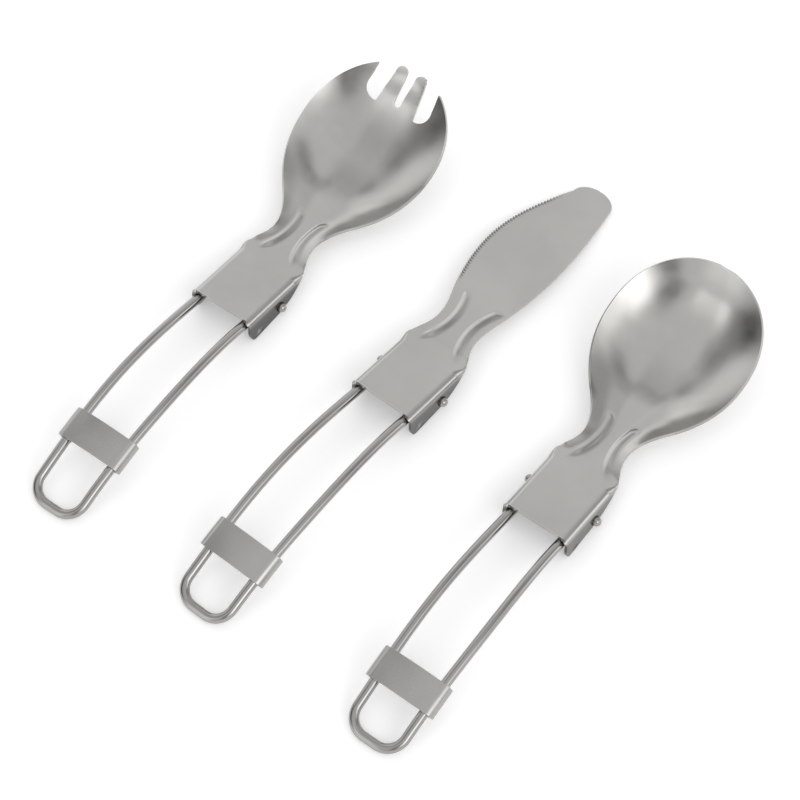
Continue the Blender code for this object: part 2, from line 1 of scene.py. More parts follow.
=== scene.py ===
"""Folding picnic cutlery of bare steel: a spork, a knife and a spoon.

Every utensil is a pressed sheet head, a bent wire handle and a sliding clip.
A piece is shaped in its utensil's own frame, whose Y axis is the hinge and whose
X axis lies in the head's plate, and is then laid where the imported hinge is.
"""
import json
import logging
import math
from dataclasses import dataclass
from enum import Enum
from itertools import accumulate
from typing import Callable

import bmesh
import bpy
from bmesh.types import BMesh
from bpy.types import Material, Node, NodeSocket, NodeTree, Object
from mathutils import Matrix, Vector
from mathutils.kdtree import KDTree

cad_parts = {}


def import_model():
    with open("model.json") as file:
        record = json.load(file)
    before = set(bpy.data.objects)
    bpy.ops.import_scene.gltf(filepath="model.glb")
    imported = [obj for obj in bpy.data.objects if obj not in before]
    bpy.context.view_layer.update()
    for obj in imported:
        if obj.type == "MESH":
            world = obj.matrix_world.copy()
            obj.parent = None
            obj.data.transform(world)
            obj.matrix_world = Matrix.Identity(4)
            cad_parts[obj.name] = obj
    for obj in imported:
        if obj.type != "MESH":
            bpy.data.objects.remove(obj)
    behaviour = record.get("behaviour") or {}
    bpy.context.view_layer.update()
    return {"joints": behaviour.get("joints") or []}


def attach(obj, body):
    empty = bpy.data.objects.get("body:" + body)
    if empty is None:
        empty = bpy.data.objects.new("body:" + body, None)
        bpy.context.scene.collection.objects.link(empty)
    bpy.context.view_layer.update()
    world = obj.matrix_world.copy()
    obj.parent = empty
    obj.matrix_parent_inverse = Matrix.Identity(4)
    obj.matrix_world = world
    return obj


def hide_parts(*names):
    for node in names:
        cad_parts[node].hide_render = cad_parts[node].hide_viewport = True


MM = 0.001
EDGE_ATTRIBUTE = "sheet_edge"
# the attribute that carries the painted shade on the channel's sides, its fold and the saw notches
PAINTED_SHADE_ATTRIBUTE = "painted_channel_shade"
DRAWN_ATTRIBUTE = "drawn_along"
TOUCHING = 0.01 * MM
SLIVER = 0.02 * MM
TIP_GAP = 0.05 * MM
ROW_MERGE = 0.07 * MM
RIM_MERGE = 0.08 * MM
ROW_CROWD = 0.12 * MM
LOOKS = ("Colour", "Roughness")
UNIT = (0.0, 1.0)
NOISE_SPAN = (0.3, 0.7)
WHITE = (1.0, 1.0, 1.0, 1.0)
Pair = tuple[float, float]
Knots = tuple[tuple[float, float, float], ...]
Sockets = bpy.types.bpy_prop_collection
log = logging.getLogger("cutlery")


class Side(Enum):
    """A side of a head, seen from its handle."""

    LEFT = 1
    RIGHT = -1


class Slot(Enum):
    """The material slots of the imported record."""

    PRESSED = "pressed_steel"
    DRAWN = "drawn_wire"
    FOLDED = "folded_strip"


def smoothstep(value: float) -> float:
    """Return an S curve from 0 to 1 for a value clamped to that range."""
    value = min(max(value, 0.0), 1.0)
    return value * value * (3.0 - 2.0 * value)


def hermite(x: float, knots: Knots) -> float:
    """Follow a cubic curve through knots.

    Args:
        x: Where to read the curve.
        knots: Places, values and slopes, in order.

    Returns:
        The curve's value at x.
    """
    for (x0, y0, m0), (x1, y1, m1) in zip(knots, knots[1:]):
        if x <= x1:
            break
    span = x1 - x0
    t = (x - x0) / span
    blend = t * t * (3.0 - 2.0 * t)
    return y0 + (y1 - y0) * blend + span * (m0 * t * (1.0 - t) ** 2 - m1 * t * t * (1.0 - t))


def quarter(count: int, first: int = 0) -> list[float]:
    """Return the angles of a quarter turn in even steps, from the first step on."""
    return [0.5 * math.pi * i / count for i in range(first, count + 1)]


def stepped(start: float, end: float, step: float) -> list[float]:
    """Space values evenly.

    Args:
        start: The value before the first one.
        end: The last value.
        step: The widest spacing.

    Returns:
        The values after start, up to end.
    """
    count = max(1, math.ceil((end - start) / step - 1e-6))
    return [start + (end - start) * i / count for i in range(1, count + 1)]


def rounded(start: float, end: float, count: int) -> list[float]:
    """Space values as on a quarter circle, without the crowd of them just before its end.

    Args:
        start: The value before the first one.
        end: The last value.
        count: How many a full quarter has.

    Returns:
        The values after start, up to just before end.
    """
    values = [start + (end - start) * math.sin(turn) for turn in quarter(count, 1)]
    return [value for value in values if end - value > ROW_CROWD] + [end - TIP_GAP]


@dataclass(frozen=True)
class Stock:
    """The sheet and the wire that everything is made from."""

    sheet: float = 0.8 * MM
    wire_radius: float = 1.35 * MM
    running_gap: float = 0.3 * MM


STOCK = Stock()


@dataclass(frozen=True)
class HandleArc:
    """The circle that a wire handle follows, seen from the side."""

    radius: float = 110.4 * MM
    lift: float = math.radians(13.2)

    @property
    def centre(self) -> Vector:
        """Return the middle of the circle."""
        return Vector((-self.radius * math.sin(self.lift), 0.0, -self.radius * math.cos(self.lift)))

    def upright(self, length: float) -> Vector:
        """Return the direction away from the circle's middle at a length along it."""
        angle = self.lift - length / self.radius
        return Vector((math.sin(angle), 0.0, math.cos(angle)))

    def point(self, length: float, across: float = 0.0) -> Vector:
        """Return the point at a length along the circle and a distance across it."""
        return self.centre + self.upright(length) * self.radius + Vector((0.0, across, 0.0))

    def height(self, x: float) -> float:
        """Return the circle's height where it passes x."""
        return self.centre.z + math.sqrt(self.radius**2 - (x - self.centre.x) ** 2)

    def length_at(self, x: float) -> float:
        """Return the length along the circle at which it passes x."""
        return self.radius * (self.lift - math.asin((x - self.centre.x) / self.radius))


ARC = HandleArc()


@dataclass(frozen=True)
class Channel:
    """The folded root of a head, which the wire's ends are sprung into."""

    half_width: float = 10.2 * MM
    rear: float = 13.65 * MM
    front: float = 10.4 * MM
    fold_share: float = 0.5
    bend_radius: float = 2.4 * MM
    bend_share: float = 0.6
    least_bend: float = 1.25 * STOCK.sheet
    flange: float = 8.74 * MM
    corner: float = 3.1 * MM
    taper_power: float = 1.6
    hole_radius: float = 1.6 * MM
    lobe_radius: float = 2.6 * MM
    dimple_inset: float = 4.6 * MM
    dimple_rise: float = 1.6 * MM
    dimple_radius: float = 1.5 * MM
    dimple_depth: float = 0.6 * MM
    # where the painted shade on the fold begins, in bend radii below the plate
    shade_start: float = 0.2
    corner_rows: int = 14
    side_row: float = 0.4 * MM
    hole_row: float = 0.24 * MM
    taper_row: float = 0.35 * MM

    @property
    def plate(self) -> float:
        """Return the height of the plate's upper face above the hinge."""
        return ARC.height(-self.rear) + STOCK.wire_radius + STOCK.running_gap + STOCK.sheet

    def flange_depth(self, x: float) -> float:
        """Return how far the flange reaches below the plate's upper face at x."""
        corner_x = self.corner - self.rear
        lobe_depth = self.plate + self.lobe_radius
        lobe_end = self.lobe_radius * math.sqrt(0.5)
        if x < corner_x:
            fade = (corner_x - x) / self.corner
            return self.bend_radius + (self.flange - self.bend_radius) * math.sqrt(max(0.0, 1.0 - fade**2))
        if x < 0.0:
            return self.flange + (lobe_depth - self.flange) * (x - corner_x) / -corner_x
        if x < lobe_end:
            return self.plate + math.sqrt(self.lobe_radius**2 - x * x)
        taper = (x - lobe_end) / (self.front - lobe_end)
        return max((self.plate + lobe_end) * (1.0 - taper**self.taper_power), 0.5 * STOCK.sheet)

    def dimple_share(self, point: Vector) -> float:
        """Return how far into a flange's small dimple a point is, from 0 outside to 1 in its middle."""
        off_z = point.z - (self.plate - self.flange + self.dimple_rise)
        off = math.hypot(point.x - self.dimple_inset + self.rear, off_z)
        return smoothstep(1.0 - off / self.dimple_radius)

    def section(self, x: float, share: float) -> Pair:
        """Read the channel's half section, from its middle out and down.

        Args:
            x: The place along the channel.
            share: 0 on the middle line, fold_share where the fold starts, 1 at the edge.

        Returns:
            The distance from the middle and the height.
        """
        depth = self.flange_depth(x)
        radius = min(self.bend_radius, max(self.least_bend, self.bend_share * depth))
        flat = self.half_width - radius
        if share <= self.fold_share:
            return flat * share / self.fold_share, self.plate
        bend = radius * math.acos(max(0.0, 1.0 - depth / radius))
        along = (bend + max(0.0, depth - radius)) * (share - self.fold_share) / (1.0 - self.fold_share)
        angle = min(along, bend) / radius
        drop = radius * (1.0 - math.cos(angle)) + max(0.0, along - bend)
        return flat + radius * math.sin(angle), self.plate - drop

    def stations(self) -> list[float]:
        """Return the places along the channel at which a head has rows, crowded at its corner and hole."""
        turns = (0.0, *quarter(self.corner_rows, 3))
        rows = [self.corner * (1.0 - math.cos(turn)) - self.rear for turn in turns]
        rows += stepped(rows[-1], -self.lobe_radius, self.side_row)
        rows += stepped(-self.lobe_radius, self.lobe_radius, self.hole_row)
        return rows + stepped(self.lobe_radius, self.front, self.taper_row)


CHANNEL = Channel()


@dataclass(frozen=True)
class Resting:
    """How one utensil lies on the table, with its loop and its head both down."""

    pivot: Vector
    yaw: float
    pivot_height: float
    reach: float

    @property
    def pitch(self) -> float:
        """Return the tilt, tip down, at which the handle's loop rests on the table."""
        loop = ARC.point(self.reach)
        fall = math.atan2(-loop.z, -loop.x)
        return fall + math.asin((STOCK.wire_radius - self.pivot_height) / math.hypot(loop.x, loop.z))

    @property
    def matrix(self) -> Matrix:
        """Return the transform from the utensil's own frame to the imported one."""
        turn = Matrix.Rotation(self.yaw, 4, "Z") @ Matrix.Rotation(self.pitch, 4, "Y")
        return Matrix.Translation(self.pivot) @ turn

    def sheet_on_table(self, x: float) -> float:
        """Return the height at x of the upper face of a sheet that lies on the table."""
        table = (x * math.sin(self.pitch) - self.pivot_height) / math.cos(self.pitch)
        return table + STOCK.sheet / math.cos(self.pitch)


# --- finishes


class Nodes:
    """A small helper that adds and links the nodes of one tree."""

    colour_inputs = (6, 7)
    colour_output = 2

    def __init__(self, tree: NodeTree) -> None:
        """Keep the tree."""
        self.tree = tree

    def feed(self, inputs: Sockets, values: dict) -> None:
        """Set inputs to numbers or colours, or link sockets to them, by name or number."""
        for name, value in values.items():
            if isinstance(value, NodeSocket):
                self.tree.links.new(value, inputs[name])
            else:
                inputs[name].default_value = value

    def add(self, kind: str, inputs: dict, **settings: object) -> Node:
        """Add a shader node.

        Args:
            kind: The node's type, without the start that all types share.
            inputs: Numbers, colours or sockets for its inputs, by name or number.
            settings: The node's other settings.

        Returns:
            The node.
        """
        node = self.tree.nodes.new(f"ShaderNode{kind}")
        for name, value in settings.items():
            setattr(node, name, value)
        self.feed(node.inputs, inputs)
        return node

    def attribute(self, name: str) -> Sockets:
        """Add a node that reads a mesh attribute and return its outputs."""
        return self.add("Attribute", {}, attribute_name=name).outputs

    def group(self, tree: NodeTree, inputs: dict) -> Sockets:
        """Add a group and return its outputs."""
        return self.add("Group", inputs, node_tree=tree).outputs

    def noise(self, vector: NodeSocket, scale: float, detail: float) -> NodeSocket:
        """Add a noise texture and return its value."""
        return self.add("TexNoise", {"Vector": vector, "Scale": scale, "Detail": detail}).outputs["Fac"]

    def math(self, operation: str, first: object, second: object) -> NodeSocket:
        """Add a maths node on two sockets or numbers and return its value."""
        return self.add("Math", {0: first, 1: second}, operation=operation).outputs[0]

    def stretch(self, vector: NodeSocket, scale: tuple, turn: float = 0.0) -> NodeSocket:
        """Add a mapping that turns a vector about Z and stretches it, and return it."""
        inputs = {"Vector": vector, "Scale": scale, "Rotation": (0.0, 0.0, turn)}
        return self.add("Mapping", inputs).outputs["Vector"]

    def span(self, value: NodeSocket, source: tuple, target: tuple, shape: str = "LINEAR") -> NodeSocket:
        """Add a clamped map range from one span to another and return its value."""
        ends = {"From Min": source[0], "From Max": source[1], "To Min": target[0], "To Max": target[1]}
        return self.add("MapRange", {"Value": value, **ends}, interpolation_type=shape).outputs["Result"]

    def mix(self, amount: NodeSocket, first: object, second: object) -> NodeSocket:
        """Add a colour mix of two sockets or colours and return it."""
        first_input, second_input = self.colour_inputs
        inputs = {"Factor": amount, first_input: first, second_input: second}
        return self.add("Mix", inputs, data_type="RGBA").outputs[self.colour_output]


def new_group(name: str, inputs: tuple[str, ...], outputs: tuple[str, ...]) -> tuple:
    """Start a shader node group.

    Args:
        name: The group's name.
        inputs: Its socket names; Vector and Colour have their own type, and the others are numbers.
        outputs: The same for what it gives.

    Returns:
        A helper for its tree, what its input node gives and what its output node takes.
    """
    tree = bpy.data.node_groups.new(name, "ShaderNodeTree")
    kinds = {"Vector": "NodeSocketVector", "Colour": "NodeSocketColor"}
    for way, sockets in (("INPUT", inputs), ("OUTPUT", outputs)):
        for socket in sockets:
            tree.interface.new_socket(socket, in_out=way, socket_type=kinds.get(socket, "NodeSocketFloat"))
    start, end = tree.nodes.new("NodeGroupInput"), tree.nodes.new("NodeGroupOutput")
    return Nodes(tree), start.outputs, end.inputs


class MetalGroups:
    """The effects that all the bare steel shares, as shader node groups."""

    def __init__(self) -> None:
        """Build the three groups."""
        self.grain = self._tumbled_grain()
        self.cloud = self._handled_cloud()
        self.edge = self._worn_edge()

    @staticmethod
    def _tumbled_grain() -> NodeTree:
        """Return the fine pitted grain with short scratches that tumbling leaves."""
        nodes, start, end = new_group("tumbled_grain", ("Vector", "Scratches"), ("Height",))
        vector = start["Vector"]
        fine = nodes.noise(vector, 5200.0, 2.0)
        coarse = nodes.noise(vector, 1500.0, 3.0)
        one_way = nodes.noise(nodes.stretch(vector, (420.0, 9000.0, 9000.0), 0.5), 1.0, 1.0)
        other_way = nodes.noise(nodes.stretch(vector, (380.0, 8000.0, 8000.0), -0.7), 1.0, 1.0)
        scratch = nodes.span(nodes.math("MAXIMUM", one_way, other_way), (0.62, 0.8), UNIT)
        scratch = nodes.math("MULTIPLY", scratch, start["Scratches"])
        pits = nodes.math("ADD", nodes.math("MULTIPLY", fine, 0.55), nodes.math("MULTIPLY", coarse, 0.45))
        nodes.feed(end, {"Height": nodes.math("SUBTRACT", pits, scratch)})
        return nodes.tree

    @staticmethod
    def _handled_cloud() -> NodeTree:
        """Return the faint clouds of tone and gloss that handling leaves."""
        nodes, start, end = new_group("handled_cloud", ("Vector", *LOOKS), LOOKS)
        broad = nodes.noise(start["Vector"], 42.0, 3.0)
        close = nodes.noise(start["Vector"], 260.0, 4.0)
        tone = nodes.span(broad, NOISE_SPAN, (0.955, 1.035))
        tone = nodes.math("MULTIPLY", tone, nodes.span(close, NOISE_SPAN, (0.98, 1.02)))
        tint = nodes.add("VectorMath", {0: start["Colour"], "Scale": tone}, operation="SCALE")
        gloss = nodes.span(close, NOISE_SPAN, (-0.022, 0.022))
        gloss = nodes.math("ADD", gloss, nodes.span(broad, NOISE_SPAN, (0.02, -0.02)))
        roughness = nodes.math("ADD", start["Roughness"], gloss)
        nodes.feed(end, {"Colour": tint.outputs["Vector"], "Roughness": roughness})
        return nodes.tree

    @staticmethod
    def _worn_edge() -> NodeTree:
        """Return the brighter and smoother metal along the edges of a sheet."""
        nodes, start, end = new_group("worn_edge", ("Vector", "Edge", *LOOKS), LOOKS)
        broken = nodes.span(nodes.noise(start["Vector"], 900.0, 3.0), (0.35, 0.65), (0.35, 1.0))
        worn = nodes.math("MULTIPLY", nodes.span(start["Edge"], (0.55, 1.0), UNIT), broken)
        bright = (0.5, 0.495, 0.48, 1.0)
        colour = nodes.mix(nodes.math("MULTIPLY", worn, 0.3), start["Colour"], bright)
        roughness = nodes.math("ADD", start["Roughness"], nodes.math("MULTIPLY", worn, -0.09))
        nodes.feed(end, {"Colour": colour, "Roughness": roughness})
        return nodes.tree


@dataclass(frozen=True)
class SteelFinish:
    """One finish of bare steel."""

    name: str
    colour: tuple[float, float, float]
    roughness: float
    scratches: float
    drawn: bool = False
    # how strongly the painted shade darkens the marked sides, and the dark colour it darkens them towards
    painted_shade_strength: float = 0.0
    painted_shade_colour: tuple[float, float, float] = (0.062, 0.061, 0.059)
    grain_height: float = 0.004 * MM
    grain_strength: float = 0.5
    line_scale: tuple[float, float, float] = (60.0, 5200.0, 5200.0)
    line_height: float = 1.6

    def material(self, groups: MetalGroups) -> Material:
        """Build the finish.

        Args:
            groups: The effects that all the steel shares.

        Returns:
            The material.
        """
        material = bpy.data.materials.new(self.name)
        material.use_nodes = True
        nodes = Nodes(material.node_tree)
        at = {"Vector": nodes.add("TexCoord", {}).outputs["Object"]}
        own = {"Colour": (*self.colour, 1.0), "Roughness": self.roughness}
        cloud = nodes.group(groups.cloud, {**at, **own})
        edge = nodes.attribute(EDGE_ATTRIBUTE)["Fac"]
        worn = nodes.group(groups.edge, {**at, "Edge": edge, **{name: cloud[name] for name in own}})
        colour = worn["Colour"]
        if self.painted_shade_strength:  # painted shade: the marked sides of the channel, its fold and the saw notches are darkened towards a dark colour
            shade = nodes.math("MULTIPLY", nodes.attribute(PAINTED_SHADE_ATTRIBUTE)["Fac"], self.painted_shade_strength)
            colour = nodes.mix(shade, colour, (*self.painted_shade_colour, 1.0))
        height = nodes.group(groups.grain, {**at, "Scratches": self.scratches})["Height"]
        if self.drawn:  # the drawing die leaves lines along a wire
            along = nodes.stretch(nodes.attribute(DRAWN_ATTRIBUTE)["Vector"], self.line_scale)
            lines = nodes.math("MULTIPLY", nodes.noise(along, 1.0, 2.0), self.line_height)
            height = nodes.math("ADD", height, lines)
        relief = {"Strength": self.grain_strength, "Distance": self.grain_height, "Height": height}
        normal = nodes.add("Bump", relief).outputs["Normal"]
        looks = {"Base Color": colour, "Metallic": 1.0, "Roughness": worn["Roughness"], "Normal": normal}
        nodes.feed(nodes.tree.nodes["Principled BSDF"].inputs, looks)
        return material


FINISHES = {
    # the pressed finish carries the painted shade of the channel's sides
    Slot.PRESSED: SteelFinish("pressed_steel_satin", (0.45, 0.445, 0.43), 0.23, 0.35, painted_shade_strength=0.94),
    Slot.DRAWN: SteelFinish("drawn_wire_satin", (0.36, 0.356, 0.346), 0.17, 0.2, drawn=True),
    Slot.FOLDED: SteelFinish("folded_strip_satin", (0.41, 0.405, 0.392), 0.27, 0.45),
}


def add_object(name: str, data: bpy.types.ID) -> Object:
    """Add an object for a mesh, a lamp or a camera to the scene and return it."""
    piece = bpy.data.objects.new(name, data)
    bpy.context.scene.collection.objects.link(piece)
    return piece


def aim(piece: Object, at: Vector, target: Vector) -> None:
    """Stand a lamp or a camera at a place and turn it to a target."""
    piece.location = at
    piece.rotation_euler = (target - at).to_track_quat("-Z", "Y").to_euler()


@dataclass(frozen=True)
class Dressing:
    """The three finished materials, by the slot that each one stands for."""

    materials: dict[Slot, Material]

    @classmethod
    def make(cls) -> "Dressing":
        """Build the groups and the materials."""
        groups = MetalGroups()
        return cls({slot: finish.material(groups) for slot, finish in FINISHES.items()})

    def finish_piece(self, name: str, bm: BMesh, slot: Slot, node: str) -> Object:
        """Turn a shape into a dressed piece that stands for a node and rides on its body.

        Args:
            name: The piece's name.
            bm: The shape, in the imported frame; it is freed.
            slot: The finish.
            node: The node, whose body has the same name.

        Returns:
            The piece.
        """
        mesh = bpy.data.meshes.new(name)
        bm.to_mesh(mesh)
        bm.free()
        mesh.shade_smooth()
        mesh.materials.append(self.materials[slot])
        piece = add_object(name, mesh)
        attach(piece, node)
        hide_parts(node)
        log.info("%s stands for %s: %d faces", name, node, len(mesh.polygons))
        return piece


def thicken(piece: Object, thickness: float, edge_radius: float) -> None:
    """Give a sheet its thickness below its faces, and round its edges.

    Args:
        piece: The sheet.
        thickness: How thick it is.
        edge_radius: The rounding of its edges.
    """
    solid = piece.modifiers.new("thickness", "SOLIDIFY")
    solid.thickness = thickness
    solid.offset = -1.0
    solid.use_quality_normals = True
    bevel = piece.modifiers.new("rounded_edges", "BEVEL")
    bevel.width = edge_radius
    bevel.segments = 2
    bevel.profile = 0.5
    bevel.limit_method = "ANGLE"
    bevel.angle_limit = math.radians(50.0)
    bevel.harden_normals = True


def mark_edges(bm: BMesh, reach: float) -> None:
    """Write how near each point is to the sheet's edge, from 1 on it to 0 at a reach.

    Args:
        bm: The open sheet.
        reach: How far in from the edge the mark fades out.
    """
    layer = bm.verts.layers.float.new(EDGE_ATTRIBUTE)
    rim = [vert.co for vert in bm.verts if vert.is_boundary]
    tree = KDTree(len(rim))
    for index, point in enumerate(rim):
        tree.insert(point, index)
    tree.balance()
    for vert in bm.verts:
        distance = tree.find(vert.co)[2]
        vert[layer] = max(0.0, 1.0 - distance / reach)


def cut_out(bm: BMesh, inside: Callable[[Vector], bool], onto: Callable[[Vector], Vector]) -> None:
    """Cut an opening or an outline in an open sheet.

    Args:
        bm: The sheet.
        inside: Whether a point is cut away.
        onto: Moves a point of the cut's rim onto the outline.
    """
    gone = {face for face in bm.faces if inside(face.calc_center_median())}
    rim = [vert for vert in bm.verts if len({face in gone for face in vert.link_faces}) == 2]
    bmesh.ops.delete(bm, geom=list(gone), context="FACES")
    for vert in rim:
        vert.co = onto(vert.co)
    bmesh.ops.remove_doubles(bm, verts=rim, dist=RIM_MERGE)
    bmesh.ops.dissolve_degenerate(bm, dist=SLIVER, edges=bm.edges)


# --- heads


@dataclass(frozen=True)
class Head:
    """A pressed sheet head: the channel, the neck with its two beads, and what lies before it."""

    name: str
    resting: Resting
    shoulder_slope: float = -0.65
    shoulder_fade: float = 3.0 * MM
    waist_at: float = 20.0 * MM
    neck_inner: float = 0.95
    front_inner: float = 0.6
    bead_start: float = 8.5 * MM
    bead_middle: float = 21.0 * MM
    bead_end: float = 29.0 * MM
    bead_run_in: float = 6.0 * MM
    bead_run_out: float = 2.6 * MM
    bead_crest: float = 2.85 * MM
    bead_bow_radius: float = 20.0 * MM
    bead_width: float = 0.95 * MM
    bead_height: float = 0.5 * MM
    row_steps: tuple[Pair, ...] = ()
    tip: float = 71.2 * MM
    tip_shift: float = 0.0
    tip_rows: int = 90
    fullness: float = 2.0
    plate_columns: int = 16
    fold_columns: int = 30
    edge_radius: float = 0.16 * MM
    worn_reach: float = 1.4 * MM

    def outline(self, side: Side) -> Knots:
        """Return the knots of an edge, up to where the round tip starts."""
        raise NotImplementedError

    def front_section(self, x: float, share: float, side: Side) -> Pair:
        """Return the distance from the middle line and the height, before the channel."""
        raise NotImplementedError

    def trim(self, bm: BMesh) -> None:
        """Cut what is this head's own; most heads have nothing more."""

    def front_stations(self) -> list[float]:
        """Return the places before the channel at which the head has rows, crowded towards the tip."""
        rows = [CHANNEL.front]
        for end, step in self.row_steps:
            rows += stepped(rows[-1], end, step)
        return rows[1:] + rounded(rows[-1], self.tip, self.tip_rows)

    def half_width(self, x: float, side: Side) -> float:
        """Return the distance of an edge from the middle line at x.

        Args:
            x: The place along the head.
            side: Which edge.

        Returns:
            The distance; past the last knot it closes in on the tip.
        """
        knots = self.outline(side)
        round_at, width, _ = knots[-1]
        if x <= round_at:
            return hermite(x, knots)
        share = min((x - round_at) / (self.tip - round_at), 1.0)
        middle = side.value * self.tip_shift
        return middle + (width - middle) * math.sqrt(max(0.0, 1.0 - share**self.fullness))

    def column(self, x: float, share: float) -> float:
        """Return the share of the half width at which a column lies before the channel."""
        spread = smoothstep((x - CHANNEL.front) / (self.waist_at - CHANNEL.front))
        inner = self.neck_inner + (self.front_inner - self.neck_inner) * spread
        fold = CHANNEL.fold_share
        if share <= fold:
            return inner * share / fold
        return inner + (1.0 - inner) * (share - fold) / (1.0 - fold)

    def section(self, x: float, share: float, side: Side) -> Pair:
        """Read a half section of the upper face, with the fold fading out past the shoulder.

        Args:
            x: The place along the head.
            share: From 0 on the middle line to 1 at the edge.
            side: Which half.

        Returns:
            The distance from the middle and the height.
        """
        if x <= CHANNEL.front:
            return CHANNEL.section(x, share)
        front = Vector(self.front_section(x, share, side))
        fade = smoothstep((x - CHANNEL.front) / self.shoulder_fade)
        if fade < 1.0:
            fold = Vector(CHANNEL.section(CHANNEL.front, share))
            fold.x *= self.half_width(x, side) / CHANNEL.half_width
            front = fold.lerp(front, fade)
        return front.x, front.y

    def bead(self, x: float, y: float) -> float:
        """Return the height at a point of the two beads pressed along the neck, which bow inwards."""
        window = smoothstep((x - self.bead_start) / self.bead_run_in)
        window *= smoothstep((self.bead_end - x) / self.bead_run_out)
        crest = self.bead_crest + 0.5 * (x - self.bead_middle) ** 2 / self.bead_bow_radius
        off = (y - crest) / self.bead_width
        return self.bead_height * window * math.exp(-off * off)

    def painted_shade_share(self, point: Vector) -> float:
        """Return how much painted shade a point gets: 1 on the channel's sides, less in their dimples, which
        are left lighter as a painted highlight.
        """
        below = smoothstep((CHANNEL.plate - point.z) / CHANNEL.bend_radius - CHANNEL.shade_start)
        # the dimples are left out of the painted shade, so that they show as a painted highlight
        below *= 1.0 - CHANNEL.dimple_share(point)
        return below * smoothstep((CHANNEL.front - point.x) / CHANNEL.corner)

    def point(self, x: float, across: float) -> Vector:
        """Return the upper face's point at a place along the head and a share across it."""
        side = Side.LEFT if across >= 0.0 else Side.RIGHT
        y, z = self.section(x, abs(across), side)
        point = Vector((x, y, z + self.bead(x, y)))
        if x < CHANNEL.front and z < CHANNEL.plate - CHANNEL.bend_radius:
            point.y -= CHANNEL.dimple_depth * CHANNEL.dimple_share(point)
        point.y *= side.value
        return point

    def shares(self) -> list[float]:
        """Return the shares across the head at which it has columns."""
        fold = CHANNEL.fold_share
        half = [fold * i / self.plate_columns for i in range(self.plate_columns)]
        half += [fold + (1.0 - fold) * i / self.fold_columns for i in range(self.fold_columns + 1)]
        return [-share for share in reversed(half)] + half[1:]

    def cut_pin_holes(self, bm: BMesh) -> None:
        """Cut the two holes that the handle's pins turn in."""

        def inside(point: Vector) -> bool:
            """Tell whether a point lies in a flange's hole."""
            in_flange = abs(point.y) > CHANNEL.half_width - STOCK.sheet
            return in_flange and math.hypot(point.x, point.z) < CHANNEL.hole_radius

        def onto(point: Vector) -> Vector:
            """Move a point onto the hole's circle."""
            reach = CHANNEL.hole_radius / math.hypot(point.x, point.z)
            return Vector((point.x * reach, point.y, point.z * reach))

        cut_out(bm, inside, onto)

    def press(self) -> BMesh:
        """Return the head's upper face as an open sheet, cut and laid in place."""
        stations = CHANNEL.stations() + self.front_stations()
        shares = self.shares()
        bm = bmesh.new()
        rows, columns = len(stations) - 1, len(shares) - 1
        bmesh.ops.create_grid(bm, x_segments=rows, y_segments=columns, size=1.0)
        for vert in bm.verts:
            row = round(0.5 * (vert.co.x + 1.0) * rows)
            column = round(0.5 * (vert.co.y + 1.0) * columns)
            vert.co = self.point(stations[row], shares[column])
        bmesh.ops.remove_doubles(bm, verts=bm.verts, dist=ROW_MERGE)
        self.cut_pin_holes(bm)
        self.trim(bm)
        mark_edges(bm, self.worn_reach)
        # painted shade: each point's share of the darkening on the channel's sides, its fold and the saw
        # notches
        layer = bm.verts.layers.float.new(PAINTED_SHADE_ATTRIBUTE)
        for vert in bm.verts:
            vert[layer] = self.painted_shade_share(vert.co)
        bmesh.ops.transform(bm, matrix=self.resting.matrix, verts=bm.verts)
        return bm

    def build(self, dressing: Dressing) -> None:
        """Press the sheet, dress it in its material and give it its thickness."""
        name = f"{self.name}_pressed_head"
        piece = dressing.finish_piece(name, self.press(), Slot.PRESSED, f"{self.name}_head")
        thicken(piece, STOCK.sheet, self.edge_radius)


